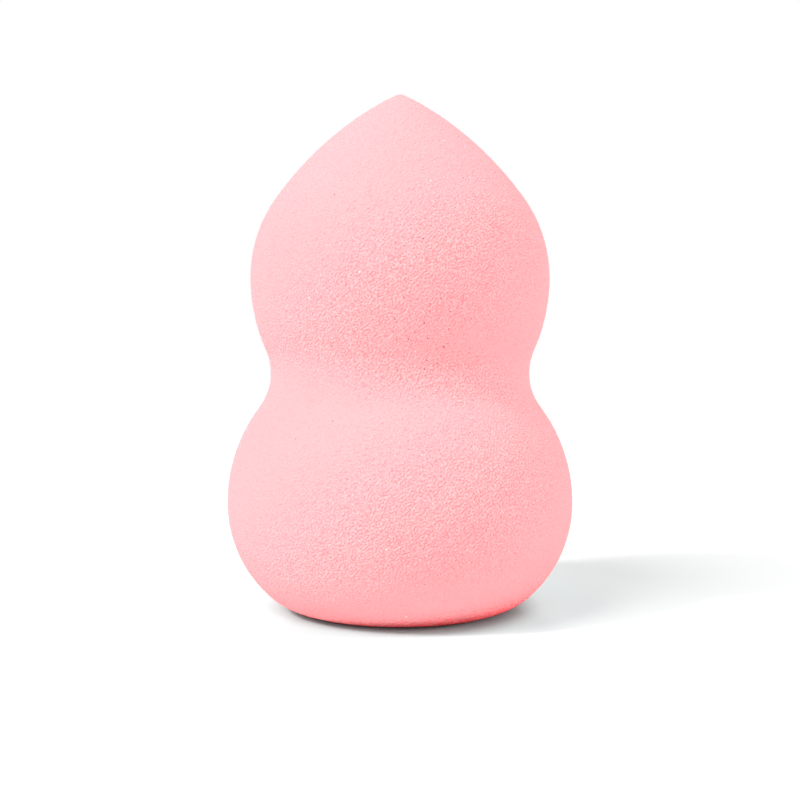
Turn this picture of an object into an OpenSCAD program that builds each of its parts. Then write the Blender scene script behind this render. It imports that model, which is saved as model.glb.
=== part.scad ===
// Makeup sponge: one block of soft foam, moulded in the shape of a gourd.
// Millimetres, +Z up. The origin is the middle of the flat base that it stands on.
// The outline is a chain of arcs, each tangent to the next, so no crease crosses the skin.

/* [Belly] */
// Radius of the widest ring of the lower lobe
belly_r = 20.1; // [16:0.1:24]
// Height of that ring above the base
belly_rise = 12.5; // [10.2:0.1:15]
// How far the edge of the flat base lies inside that ring
base_inset = 9.7; // [8:0.1:12]
// Radius of the rounding between the flat base and the underside
base_round_r = 7.6; // [6:0.1:9.2]

/* [Waist] */
// Height of the waist above the belly's widest ring
waist_rise = 15; // [12.5:0.1:18.5]
// How far the waist lies inside the bulb's widest ring
waist_depth = 2.3; // [1.5:0.1:4]
// Radius of the hollow curve round the waist
waist_round_r = 6.6; // [3:0.1:8.5]

/* [Bulb] */
// Radius of the widest ring of the upper lobe
bulb_r = 17.4; // [14:0.1:20.5]
// Height of that ring above the waist
bulb_rise = 10.9; // [9:0.1:14]
// Radius of the shoulder, the curve that closes in over that ring
shoulder_r = 15.8; // [13:0.1:19]
// Angle that the shoulder turns through before the flatter flank takes over
shoulder_angle = 35.2; // [28:0.1:41]

/* [Tip] */
// Height of the tip above the bulb's widest ring
tip_rise = 21.6; // [17.5:0.1:25.5]
// Radius of the rounded point
tip_r = 1.3; // [0.6:0.1:3]

/* [Hidden] */
$fn = 120;
chords_per_arc = 10;
foam_colour = "#fbb8bc";

// Heights of the rings above the base, each counted from the one below
belly_z = belly_rise;
waist_z = belly_z + waist_rise;
bulb_z = waist_z + bulb_rise;
tip_z = bulb_z + tip_rise;
base_r = belly_r - base_inset;
waist_r = bulb_r - waist_depth;

// Underside: an arc that leaves the belly's ring upright and touches the base rounding
under_r = (base_inset ^ 2 + (belly_z - base_round_r) ^ 2 - base_round_r ^ 2)
  / (2 * (base_inset - base_round_r));
under_x = belly_r - under_r;
under_angle = atan2(base_round_r - belly_z, base_r - under_x);

// Two arcs that bend opposite ways join two rings whose walls stand upright.
// This is the sum of their radii, and also the distance between their centres.
function s_curve_r(out, up) = (out ^ 2 + up ^ 2) / (2 * out);

// Top of the belly: from its widest ring in to the waist
belly_curve_r = s_curve_r(belly_r - waist_r, waist_rise);
belly_top_r = belly_curve_r - waist_round_r;
belly_top_angle = asin(waist_rise / belly_curve_r);

// Underside of the bulb: from the waist out to the bulb's widest ring
bulb_curve_r = s_curve_r(waist_depth, bulb_rise);
bulb_under_r = bulb_curve_r - waist_round_r;
bulb_under_angle = asin(bulb_rise / bulb_curve_r);

// Flank: the long arc that touches both the shoulder and the rounded point
shoulder_x = bulb_r - shoulder_r;
tip_centre_z = tip_z - tip_r;
tip_centre_rise = tip_centre_z - bulb_z;
flank_lean = shoulder_x * cos(shoulder_angle) - tip_centre_rise * sin(shoulder_angle);
flank_extra_r = (shoulder_x ^ 2 + tip_centre_rise ^ 2 - (shoulder_r - tip_r) ^ 2)
  / (2 * (shoulder_r - tip_r + flank_lean));
flank_r = shoulder_r + flank_extra_r;
flank_x = shoulder_x - flank_extra_r * cos(shoulder_angle);
flank_z = bulb_z - flank_extra_r * sin(shoulder_angle);
flank_angle = atan2(tip_centre_z - flank_z, -flank_x);

// Points of an arc about [x, z], without its first, which ends the arc before it.
// Angles are counted from straight out, 0, to straight up, 90.
function arc(x, z, r, from, to) = [
  for (i = [1:chords_per_arc])
    let (angle = from + (to - from) * i / chords_per_arc)
      [x + r * cos(angle), z + r * sin(angle)]
];

// Half of the outline, from the middle of the base out and up to the tip
module gourd_outline() {
  waist_x = waist_r + waist_round_r;
  polygon(concat(
    [[0, 0], [base_r, 0]],
    arc(base_r, base_round_r, base_round_r, -90, under_angle),
    arc(under_x, belly_z, under_r, under_angle, 0),
    arc(belly_r - belly_top_r, belly_z, belly_top_r, 0, belly_top_angle),
    arc(waist_x, waist_z, waist_round_r, 180 + belly_top_angle, 180),
    arc(waist_x, waist_z, waist_round_r, 180, 180 - bulb_under_angle),
    arc(bulb_r - bulb_under_r, bulb_z, bulb_under_r, -bulb_under_angle, 0),
    arc(shoulder_x, bulb_z, shoulder_r, 0, shoulder_angle),
    arc(flank_x, flank_z, flank_r, shoulder_angle, flank_angle),
    arc(0, tip_centre_z, tip_r, flank_angle, 90)
  ));
}

module sponge_body() {
  color(foam_colour)
    rotate_extrude() gourd_outline();
}

sponge_body();
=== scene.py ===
# %% [markdown]
# # A makeup sponge, rebuilt in Blender
#
# The sponge is one block of soft pink foam in the shape of a gourd. The CAD model has its exact
# size and outline, and this script dresses it: a dense foam skin with real grain, a foam
# material that lets light sink in, a white paper sweep and soft studio light.
#
# Everything is in metres. Z points up, and the origin is the middle of the flat base.

# %% Load the CAD model
import math

import bpy
import numpy as np
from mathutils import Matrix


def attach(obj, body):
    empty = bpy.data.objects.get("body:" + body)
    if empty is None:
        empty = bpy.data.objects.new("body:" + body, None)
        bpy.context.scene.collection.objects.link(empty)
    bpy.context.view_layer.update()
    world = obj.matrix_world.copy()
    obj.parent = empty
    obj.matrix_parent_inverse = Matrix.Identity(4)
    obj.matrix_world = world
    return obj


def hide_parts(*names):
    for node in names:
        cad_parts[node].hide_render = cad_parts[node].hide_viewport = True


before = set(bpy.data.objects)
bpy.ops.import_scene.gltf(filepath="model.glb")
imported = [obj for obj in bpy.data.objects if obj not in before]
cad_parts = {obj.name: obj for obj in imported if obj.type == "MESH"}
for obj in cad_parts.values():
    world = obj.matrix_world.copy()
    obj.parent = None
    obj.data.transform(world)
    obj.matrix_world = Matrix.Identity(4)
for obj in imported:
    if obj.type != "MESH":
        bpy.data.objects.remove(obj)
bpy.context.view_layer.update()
MM = 0.001  # one millimetre in metres
body_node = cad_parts["sponge_body"]

# %% [markdown]
# ## Small helpers
#
# Blender's operators act on whatever is selected, and the loader leaves its pieces selected.
# So each step first selects just the one object that it works on.

# %% Helpers for objects
WELD = 0.001 * MM  # points closer than this become one


def work_on(piece):
    """Makes this the only selected object, and the active one."""
    bpy.ops.object.select_all(action="DESELECT")
    piece.select_set(True)
    bpy.context.view_layer.objects.active = piece


def finish_modifier(piece, kind, **settings):
    """Adds a modifier with these settings and applies it, so that only its mesh is left."""
    work_on(piece)
    bpy.ops.object.modifier_add(type=kind)
    modifier = piece.modifiers[-1]
    for name, value in settings.items():
        setattr(modifier, name, value)
    bpy.ops.object.modifier_apply(modifier=modifier.name)


def points_of(mesh):
    """All vertices of a mesh, as rows of x, y and z."""
    flat = np.empty(len(mesh.vertices) * 3)
    mesh.vertices.foreach_get("co", flat)
    return flat.reshape(-1, 3)


def copy_of(source, name):
    """A free copy of a CAD node, with a mesh of its own. The node itself is never changed."""
    copy = bpy.data.objects.new(name, source.data.copy())
    bpy.context.collection.objects.link(copy)
    copy.data.materials.clear()
    work_on(copy)
    bpy.ops.object.mode_set(mode="EDIT")
    bpy.ops.mesh.select_all(action="SELECT")
    bpy.ops.mesh.remove_doubles(threshold=WELD)
    bpy.ops.object.mode_set(mode="OBJECT")
    return copy


# %% [markdown]
# ## The mould
#
# A sponge like this is foamed in a closed mould, and a mould for a round body is turned on a
# lathe. The CAD solid is turned too, from an outline of short straight chords, and under soft
# light those chords would show as faint rings. So a smooth mould is turned first. The outline
# is measured from the CAD body ring by ring, a Bezier curve with automatic handles runs through
# the rings, and a Screw modifier carries it once round. The foam is pressed against this mould
# later, and the mould is thrown away.

# %% Measure the outline
body_copy = copy_of(body_node, "sponge_body_copy")
body_points = points_of(body_copy.data)
body_radius = np.hypot(body_points[:, 0], body_points[:, 1])
body_height = body_points[:, 2]
SAME_RING = 0.004 * MM  # heights closer than this belong to one ring

by_height = np.argsort(body_height)
steps_up = np.diff(body_height[by_height]) > SAME_RING
ring_starts = np.concatenate([[0], np.nonzero(steps_up)[0] + 1])
outline = []
for ring in np.split(by_height, ring_starts[1:]):
    outline.append((float(body_radius[ring].max()), float(body_height[ring].mean())))
outline.insert(0, (0.0, outline[0][1]))
print("outline:", len(outline), "rings, widest", round(max(r for r, z in outline) / MM, 2), "mm")

# %% Turn the mould
MOULD_STEPS = 360  # faces round the mould: one per degree
CURVE_STEPS = 4  # points between two rings of the outline

bpy.ops.curve.primitive_bezier_curve_add(location=(0, 0, 0))
mould = bpy.context.object
mould.name = "mould"
profile = mould.data.splines[0]
profile.bezier_points.add(len(outline) - len(profile.bezier_points))
for knot, (radius, height) in zip(profile.bezier_points, outline):
    knot.co = (radius, 0, height)
    knot.handle_left_type = "AUTO"
    knot.handle_right_type = "AUTO"
mould.data.dimensions = "3D"
mould.data.resolution_u = CURVE_STEPS
work_on(mould)
bpy.ops.object.convert(target="MESH")
finish_modifier(
    mould, "SCREW", axis="Z", angle=math.tau, screw_offset=0,
    steps=MOULD_STEPS, render_steps=MOULD_STEPS, use_merge_vertices=True, merge_threshold=WELD,
)
bpy.ops.object.mode_set(mode="EDIT")
bpy.ops.mesh.select_all(action="SELECT")
bpy.ops.mesh.normals_make_consistent(inside=False)
bpy.ops.object.mode_set(mode="OBJECT")
print("mould:", len(mould.data.polygons), "faces")

# %% [markdown]
# ## The foam body
#
# A cushion of woven cloth would get a cloth simulation, which pulls it into creases and seams.
# Foam has no cover to pull: it stands in the shape that its mould gave it. So this padded piece
# takes only the first half of that recipe. A copy of the CAD body is remeshed in voxels, which
# turns it into even little squares. They are relaxed and pressed against the smooth mould a few
# times over, until no stair steps of the voxels are left.

# %% Remesh, relax and press into the mould
VOXEL = 0.5 * MM
RELAX_ROUNDS = 4
PASSES_IN_ROUND = 2
PASS_STRENGTH = 0.5

sponge = body_copy
sponge.name = "foam_sponge"
sponge.data.name = "foam_sponge"
work_on(sponge)
sponge.data.remesh_voxel_size = VOXEL
sponge.data.remesh_voxel_adaptivity = 0.0
sponge.data.use_remesh_fix_poles = True
bpy.ops.object.voxel_remesh()
for relax_round in range(RELAX_ROUNDS):
    finish_modifier(sponge, "SMOOTH", factor=PASS_STRENGTH, iterations=PASSES_IN_ROUND)
    finish_modifier(sponge, "SHRINKWRAP", target=mould, wrap_method="NEAREST_SURFACEPOINT")
print("remeshed:", len(sponge.data.polygons), "faces")

# %% [markdown]
# A map lets a picture of the material be laid over the finished mesh. It is made here, while
# the mesh is still smooth and light, because on the grainy skin it would fall into crumbs.

# %% Lay out the map
ISLAND_ANGLE = math.radians(66)  # skin that turns by more than this starts a new island
ISLAND_GAP = 0.004  # between two islands, as a share of the map's side

sponge.data.uv_layers.new(name="OFBake")
work_on(sponge)
bpy.ops.object.mode_set(mode="EDIT")
bpy.ops.mesh.select_all(action="SELECT")
bpy.ops.uv.smart_project(
    angle_limit=ISLAND_ANGLE, island_margin=ISLAND_GAP, scale_to_bounds=True
)
bpy.ops.object.mode_set(mode="OBJECT")
print("map:", [layer.name for layer in sponge.data.uv_layers])

# %% [markdown]
# Now the skin gets the fineness that its grain needs. Each level of subdivision halves every
# edge, so two levels take the squares from half a millimetre to an eighth. One level more would
# make four times as many faces, which is more than a shared part should carry.

# %% Subdivide
SKIN_LEVELS = 2
finish_modifier(sponge, "SUBSURF", levels=SKIN_LEVELS, render_levels=SKIN_LEVELS)
bpy.data.objects.remove(mould)
print("skin:", len(sponge.data.polygons), "faces")

# %% [markdown]
# ## The grain
#
# Close up, the skin of moulded foam is covered in small pebbles, the closed tops of its cells,
# about a quarter of a millimetre from one to the next. They could be painted as bump alone, but
# real relief also catches the light along the edge of the shape and stays in the mesh itself.
# So a Displace modifier raises them, with a cloud texture in the piece's own coordinates.

# %% Raise the grain
GRAIN_SIZE = 0.25 * MM
GRAIN_HEIGHT = 0.12 * MM  # from the lowest to the highest point that the clouds can reach

pebbles = bpy.data.textures.new("foam_pebbles", "CLOUDS")
pebbles.noise_scale = GRAIN_SIZE
pebbles.noise_depth = 0
pebbles.noise_basis = "IMPROVED_PERLIN"
finish_modifier(
    sponge, "DISPLACE", texture=pebbles, texture_coords="LOCAL", direction="NORMAL",
    mid_level=0.5, strength=GRAIN_HEIGHT,
)
print("box of the grainy skin in mm:", [round(side / MM, 2) for side in sponge.dimensions])

# %% [markdown]
# The sponge stands on its base, and the table presses the grain flat there. Every point that
# would dip below the table is lifted onto it.

# %% Flatten the base
skin = points_of(sponge.data)
sunk = skin[:, 2] < 0
skin[sunk, 2] = 0
sponge.data.vertices.foreach_set("co", skin.ravel())
sponge.data.update()
work_on(sponge)
bpy.ops.object.shade_smooth()
print("flattened:", int(sunk.sum()), "points of", len(skin))

# %% [markdown]
# ## The material
#
# The foam is hydrophilic polyurethane, coloured through and through with pink pigment. Its skin
# is matt, with hardly any gloss. Light sinks in before it comes back out: red wanders for a
# centimetre and more, green and blue hardly at all. So red stays bright on the shaded side,
# while green and blue draw the form, and the shade turns a warmer pink, not grey.
#
# Nodes are added by one small function, and every colour is written as it looks on a screen.

# %% Helpers for materials
def linear(hex_code):
    """An sRGB colour, such as #ff8080, in the linear values that a shader reads."""
    shares = [int(hex_code[at : at + 2], 16) / 255 for at in (1, 3, 5)]
    dark = [v / 12.92 for v in shares]
    bright = [((v + 0.055) / 1.055) ** 2.4 for v in shares]
    return [d if v <= 0.04045 else b for v, d, b in zip(shares, dark, bright)] + [1.0]


def add_node(tree, kind, inputs=(), **settings):
    """Adds a node. Each input is a plain value, or the output of another node."""
    node = tree.nodes.new("ShaderNode" + kind)
    for name, value in settings.items():
        setattr(node, name, value)
    for socket, value in dict(inputs).items():
        if isinstance(value, bpy.types.NodeSocket):
            tree.links.new(value, node.inputs[socket])
        else:
            node.inputs[socket].default_value = value
    return node


def new_material(name):
    """An empty node material, its node tree and its output node."""
    material = bpy.data.materials.new(name)
    material.use_nodes = True
    material.node_tree.nodes.clear()
    output = add_node(material.node_tree, "OutputMaterial")
    return material, material.node_tree, output


# %% Start the foam
foam, foam_tree, foam_output = new_material("moulded_polyurethane_foam")
place = add_node(foam_tree, "TexCoord")
AT = place.outputs["Object"]  # where a point of the skin lies
FACES = place.outputs["Normal"]  # which way the skin faces there


def sums(operation, *values):
    """One step of arithmetic in the foam's nodes."""
    step = add_node(foam_tree, "Math", dict(enumerate(values)), operation=operation)
    return step.outputs[0]


def ramp(value, start, end, first=0.0, last=1.0):
    """Runs from first to last while the value runs from start to end, and stops there."""
    limits = {"From Min": start, "From Max": end, "To Min": first, "To Max": last}
    step = add_node(foam_tree, "MapRange", {"Value": value, **limits})
    return step.outputs["Result"]


def blend(share, below, above):
    """Lays the colour above over the colour below, by this share."""
    step = add_node(foam_tree, "MixRGB", {"Fac": share, "Color1": below, "Color2": above})
    return step.outputs["Color"]


def facing(way):
    """How squarely the skin faces that way: 1 straight on, 0 edge on, -1 turned from it."""
    step = add_node(foam_tree, "VectorMath", {0: FACES, 1: way}, operation="DOT_PRODUCT")
    return step.outputs["Value"]


print("material:", foam.name)

# %% [markdown]
# ## The grain's tint, and the painted light and shade of its relief
#
# On the real skin the cell tops are paler than the fine furrows between them, and the two run
# together into short worms of light and deep pink. Cloud noise would give blots, and Voronoi
# round cells. A Gabor texture gives just such worms: stripes of one width that keep turning.
# Its pattern is turned by 45 degrees, so that none of its own axes lies along an upright wall.
#
# In the photograph the worms are clear in the shade of the bulb and on the front of the belly,
# and nearly gone in the window light at the upper left, because they are relief that shows where
# light grazes it. So the tint is partly painted light and shade of that relief: its contrast
# follows the way the skin faces the window, on a bell curve that is highest a little away from
# the side turned to that light. Low on the belly, where the skin turns under, and towards its
# right edge, the painted relief shade is weak again.

# %% Foam: the grain's tint and painted relief shade
LIGHT_PINK = "#ffd4d7"
DARK_PINK = "#ffa7ac"
GRAIN_WAVE = 0.31 * MM  # from one worm to the next
WAVES_IN_STEP = 1.5  # how many worms run side by side before they turn
GRAIN_CONTRAST = 3.7
# the side that the window light comes from; the painted relief shade is measured against it
WINDOW_SIDE = (-0.54, 0.26, 0.80)
CLEAREST_AT = -0.34  # how squarely the skin faces the window where the painted relief shade is strongest
FADE = 5.2  # how fast the painted relief shade fades away from there
LEAST_GRAIN = 0.12
DOWN = (0.2, 0.0, -0.98)
DOWN_SHADE_FROM = 0.33  # how squarely the skin faces down where the painted relief shade begins to weaken
DOWN_SHADE_FULL = 0.60
DOWN_SHADE_SHARE = 0.15
RIGHT = (1.0, 0.0, 0.0)
RIGHT_SHADE_FROM = 0.55  # how squarely the skin faces right where the painted relief shade begins to weaken
RIGHT_SHADE_FULL = 0.85
RIGHT_SHADE_SHARE = 0.4
TURN = math.radians(45)
MIDDLE = 0.5  # the Gabor texture's value half way between two worms

turned = add_node(foam_tree, "Mapping", {"Vector": AT, "Rotation": (0, TURN, 0)})
worms = add_node(
    foam_tree, "TexGabor",
    {
        "Vector": turned.outputs["Vector"],
        "Scale": 1 / (GRAIN_WAVE * WAVES_IN_STEP),
        "Frequency": WAVES_IN_STEP,
        "Anisotropy": 0.0,
    },
    gabor_type="3D",
)
# Painted light and shade: the tint's contrast is highest where the window light grazes the skin,
# and weaker where the skin faces down or right.
apart = sums("SUBTRACT", facing(WINDOW_SIDE), CLEAREST_AT)
window_graze_shade = sums("EXPONENT", sums("MULTIPLY", sums("MULTIPLY", apart, apart), -FADE))
shade_weaker_down = ramp(facing(DOWN), DOWN_SHADE_FROM, DOWN_SHADE_FULL, first=1.0, last=DOWN_SHADE_SHARE)
shade_weaker_right = ramp(facing(RIGHT), RIGHT_SHADE_FROM, RIGHT_SHADE_FULL, first=1.0, last=RIGHT_SHADE_SHARE)
both = sums("MULTIPLY", shade_weaker_down, shade_weaker_right)
share = sums("MAXIMUM", sums("MULTIPLY", window_graze_shade, both), LEAST_GRAIN)
swing = sums("SUBTRACT", worms.outputs["Value"], MIDDLE)
shown = sums("MULTIPLY", sums("MULTIPLY", swing, share), GRAIN_CONTRAST)
# The tint is partly the paler cell tops and partly painted light and shade of the relief.
tint = blend(ramp(shown, -MIDDLE, MIDDLE), linear(DARK_PINK), linear(LIGHT_PINK))
print("tint: worms", round(GRAIN_WAVE / MM, 2), "mm apart, from", DARK_PINK, "to", LIGHT_PINK)

# %% [markdown]
# ## Pores and specks
#
# Here and there a cell of the skin stayed open. Such a pore is a dark dot about a fifth of a
# millimetre across, and the photograph shows most of them in one patch, in front between the
# bulb and the waist. A few pale specks lie between them. A Voronoi texture gives the distance to
# the nearest of many scattered points, and where that is very small, there is a dot.

# %% Foam: pores and specks
PORE_COLOUR = "#7d5f63"
SPECK_COLOUR = "#ffffff"
PORE_PATCH = (2.0 * MM, -15.0 * MM, 32.0 * MM)
PATCH_RADIUS = 7.0 * MM
PATCH_CORE = 0.6 * PATCH_RADIUS  # the pores thin out from here to the patch's edge
PATCH_SPACING = 0.76 * MM
PATCH_PORE = 0.102 * MM  # each dot's size is its radius
SPACING = 3.1 * MM
PORE = 0.10 * MM
SPECK_SPACING = 3.0 * MM
SPECK = 0.13 * MM
DOT_CORE = 0.5  # a dot is full to this share of its radius, and fades from there


def dots(spacing, radius):
    """1 in the middle of small round dots, 0 outside them. They lie about this far apart."""
    cells = add_node(
        foam_tree, "TexVoronoi", {"Vector": AT, "Scale": 1 / spacing, "Randomness": 1.0}
    )
    edge = radius / spacing
    return ramp(cells.outputs["Distance"], DOT_CORE * edge, edge, first=1.0, last=0.0)


to_patch = add_node(foam_tree, "VectorMath", {0: AT, 1: PORE_PATCH}, operation="DISTANCE")
in_patch = ramp(to_patch.outputs["Value"], PATCH_CORE, PATCH_RADIUS, first=1.0, last=0.0)
patch_pores = sums("MULTIPLY", dots(PATCH_SPACING, PATCH_PORE), in_patch)
all_pores = sums("MAXIMUM", patch_pores, dots(SPACING, PORE))
with_pores = blend(all_pores, tint, linear(PORE_COLOUR))
with_specks = blend(dots(SPECK_SPACING, SPECK), with_pores, linear(SPECK_COLOUR))
print("pores: a patch", round(2 * PATCH_RADIUS / MM), "mm across, and a few elsewhere")

# %% [markdown]
# ## The foot's painted shade
#
# Low down, where the skin turns under towards the flat base, the photograph shows a band of
# deeper, redder pink above the contact line, and it is wider on the right. That band is the
# underside in shade, painted here into the colour. It needs a mask that runs round the foot and
# leans to one side: the more squarely the skin faces down and a little to the right, the deeper
# the painted shade.

# %% Foam: the painted shade under the foot
UNDERSIDE_SHADE_PINK = "#ff868b"
FOOT_FROM = 0.78  # how squarely the skin faces down where the painted shade begins
FOOT_FULL = 0.88

# Painted shade: skin that faces down and a little to the right turns a deeper, redder pink.
underside_shade = ramp(facing(DOWN), FOOT_FROM, FOOT_FULL)
skin_colour = blend(underside_shade, with_specks, linear(UNDERSIDE_SHADE_PINK))
print("foot:", UNDERSIDE_SHADE_PINK, "from", round(math.degrees(math.asin(FOOT_FROM))), "degrees down")

# %% [markdown]
# ## The way it takes light
#
# Foam is neither paint nor plastic. The Principled shader gets full subsurface scattering, with
# a radius for red alone: red light spreads under the skin and fills the shade, which is what
# makes the sponge look soft and lit from within. Green and blue keep the grain crisp. The
# gloss is low and rough, as dry foam has it. A fine bump adds the relief that is smaller than
# the mesh.

# %% Foam: the way it takes light
FINE_GRAIN = 0.20 * MM
FINE_GRAIN_HEIGHT = 0.16 * MM
RED_SPREADS = 14 * MM
RED_ALONE = (1.0, 0.0, 0.0)  # shares of that distance for red, green and blue
ROUGHNESS = 0.9
GLOSS = 0.2

fine_grain = add_node(
    foam_tree, "TexNoise", {"Vector": AT, "Scale": 1 / FINE_GRAIN, "Detail": 0.0}
)
relief = add_node(
    foam_tree, "Bump",
    {"Height": fine_grain.outputs["Fac"], "Distance": FINE_GRAIN_HEIGHT, "Strength": 1.0},
)
surface = add_node(
    foam_tree, "BsdfPrincipled",
    {
        "Base Color": skin_colour,
        "Normal": relief.outputs["Normal"],
        "Roughness": ROUGHNESS,
        "Specular IOR Level": GLOSS,
        "Subsurface Weight": 1.0,
        "Subsurface Radius": RED_ALONE,
        "Subsurface Scale": RED_SPREADS,
    },
)
print("scattering: red over", round(RED_SPREADS / MM), "mm")

# %% [markdown]
# ## The foam as the paper sees it
#
# A pink body throws a pink glow on white paper. In the photograph the shadow is a plain neutral
# grey, as product photographs are finished. So light that reaches the paper straight from the
# foam is given another colour: a pale grey, and low down a grey with less red, because the
# light that the paper throws up there is itself warm. The camera sees nothing of it. The outer
# Mix Shader asks Light Path for a diffuse ray, and the inner one whether that is its first
# bounce: then it is the paper that looks.

# %% Foam: as the paper sees it
SIDE_GREY = "#d1dada"
FOOT_GREY = "#a6dada"
LOW_DOWN = 0.6  # how squarely the skin faces down where the foot's grey is full
PAST_FIRST = 1.5  # between the depths of the first and the second bounce, 1 and 2

path = add_node(foam_tree, "LightPath")
first_bounce = sums("LESS_THAN", path.outputs["Diffuse Depth"], PAST_FIRST)
grey = blend(ramp(facing(DOWN), 0.0, LOW_DOWN), linear(SIDE_GREY), linear(FOOT_GREY))
greyed = add_node(foam_tree, "BsdfDiffuse", {"Color": grey})
bounced = add_node(
    foam_tree, "MixShader",
    {0: first_bounce, 1: surface.outputs["BSDF"], 2: greyed.outputs["BSDF"]},
)
seen = add_node(
    foam_tree, "MixShader",
    {0: path.outputs["Is Diffuse Ray"], 1: surface.outputs["BSDF"], 2: bounced.outputs[0]},
)
foam_tree.links.new(seen.outputs[0], foam_output.inputs["Surface"])
sponge.data.materials.append(foam)
print("foam material:", len(foam_tree.nodes), "nodes")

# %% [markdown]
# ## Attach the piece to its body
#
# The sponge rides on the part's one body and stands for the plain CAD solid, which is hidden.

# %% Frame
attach(sponge, "root")
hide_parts("sponge_body")
print("piece:", sponge.name, "on root, for sponge_body")

# %% [markdown]
# ## The paper
#
# Such a picture is taken on a broad sweep of white paper. One large plane stands for it. The
# camera sees it in a white that is short of red by as much as the lamps are rich in it, so the
# paper comes out white and its shadow grey. Light that bounces off it towards the foam is
# warm, which keeps the underside pink, though hardly any lamp reaches it.
#
# Light Path tells who looks. What shines or is clear has to show the same white as the camera
# sees, so glossy and transmitted rays are counted with the camera's. The world uses this too.

# %% Table
TABLE_SIZE = 8.0
PAPER_SEEN = "#ebffff"
PAPER_GLOW = "#ffd6d6"
GLOW_GAIN = 1.35  # the paper's light on the foam is this much stronger than its colour gives


def looked_at(tree):
    """1 for the camera and for rays mirrored or let through, 0 for light that only bounces."""
    looks = add_node(tree, "LightPath")
    looker = looks.outputs["Is Camera Ray"]
    for ray in ("Is Glossy Ray", "Is Transmission Ray"):
        step = add_node(tree, "Math", {0: looker, 1: looks.outputs[ray]}, operation="MAXIMUM")
        looker = step.outputs[0]
    return looker


bpy.ops.mesh.primitive_plane_add(size=TABLE_SIZE, location=(0, 0, 0))
table = bpy.context.object
table.name = "white_table"
paper, paper_tree, paper_output = new_material("matt_white_paper")
glow = [GLOW_GAIN * part for part in linear(PAPER_GLOW)]
for_light = add_node(paper_tree, "BsdfDiffuse", {"Color": glow})
for_camera = add_node(paper_tree, "BsdfDiffuse", {"Color": linear(PAPER_SEEN)})
either = add_node(
    paper_tree, "MixShader",
    {0: looked_at(paper_tree), 1: for_light.outputs[0], 2: for_camera.outputs[0]},
)
paper_tree.links.new(either.outputs[0], paper_output.inputs["Surface"])
table.data.materials.append(paper)
print("table:", TABLE_SIZE, "m wide")

# %% [markdown]
# ## Light
#
# The photograph tells where its lamps stood. The sponge is brightest at the upper left, its
# shade lies under the bulb and on the lower right, and one pale shadow runs off to the right.
# Five suns of different width stand for a window, a softbox, two fills and the glow of a
# backdrop. Their places and strengths were fitted, by rendering each lamp alone and solving for
# the mix that comes nearest to the shades of the photograph. A dim white world fills the rest.
#
# All of them are a little rich in red, because the photograph is: red stays at its brightest all
# over the sponge, even in the shade.

# %% Lights
WARM_WHITE = (1.2, 1.0, 1.0)


def add_sun(name, azimuth, elevation, spread, strength):
    """A lamp far away. Azimuth: 0 the camera's side, 90 the right, 180 the back, 270 the left."""
    lamp = bpy.data.lights.new(name, "SUN")
    lamp.angle = math.radians(spread)
    lamp.energy = strength * math.pi
    lamp.color = WARM_WHITE
    holder = bpy.data.objects.new(name, lamp)
    bpy.context.collection.objects.link(holder)
    holder.rotation_euler = (math.radians(90 - elevation), 0, math.radians(azimuth))


add_sun("window", azimuth=297, elevation=39, spread=8, strength=0.36)
add_sun("softbox", azimuth=311, elevation=52, spread=25, strength=0.32)
add_sun("right_fill", azimuth=68, elevation=60, spread=26, strength=0.29)
add_sun("side_fill", azimuth=100, elevation=11, spread=12, strength=0.10)
add_sun("backdrop_glow", azimuth=191, elevation=5, spread=7, strength=0.69)
print("suns:", len(bpy.data.lights))

# %% [markdown]
# The world has two strengths. Whoever looks at it sees pure white, which is the backdrop, and
# everything is lit by it at less than half of that.

# %% World
AMBIENT = 0.41

world = bpy.data.worlds.new("white_studio")
bpy.context.scene.world = world
world.use_nodes = True
world_tree = world.node_tree
world_tree.nodes.clear()
sky_seen = looked_at(world_tree)
sky_strength = add_node(world_tree, "Mix", {"Factor": sky_seen, "A": AMBIENT, "B": 1.0})
sky_colour = add_node(
    world_tree, "MixRGB",
    {"Fac": sky_seen, "Color1": (*WARM_WHITE, 1.0), "Color2": linear("#ffffff")},
)
sky = add_node(
    world_tree, "Background",
    {"Color": sky_colour.outputs["Color"], "Strength": sky_strength.outputs["Result"]},
)
add_node(world_tree, "OutputWorld", {"Surface": sky.outputs["Background"]})
print("world:", AMBIENT, "of white")

# %% [markdown]
# ## Camera
#
# The camera stands close and low, 130 mm from the sponge's axis and a degree and a half above
# the horizontal. The flat base is seen almost edge on and its contact line is a slim curve,
# which gives the height. The distance was tried out: at this one the outline and the shades
# came nearest to the photograph.

# %% Camera
ELEVATION = math.radians(1.5)
DISTANCE = 130 * MM
AIM_HEIGHT = 24.28 * MM  # of the point on the axis at which the camera looks
FOCAL_LENGTH = 49.66  # lens and sensor are given in millimetres, as on a real camera
SENSOR_WIDTH = 36
NEAREST = 10 * MM  # what is closer to the lens than this isn't drawn

camera_data = bpy.data.cameras.new("camera")
camera_data.lens = FOCAL_LENGTH
camera_data.sensor_width = SENSOR_WIDTH
camera_data.clip_start = NEAREST
camera = bpy.data.objects.new("camera", camera_data)
bpy.context.collection.objects.link(camera)
back = DISTANCE * math.cos(ELEVATION)
up = DISTANCE * math.sin(ELEVATION)
camera.location = (0, -back, AIM_HEIGHT + up)
camera.rotation_euler = (math.pi / 2 - ELEVATION, 0, 0)
bpy.context.scene.camera = camera
bpy.context.scene.view_settings.view_transform = "Standard"
print("camera:", round(back / MM, 1), "mm in front,", round(camera.location.z / MM, 1), "mm up")
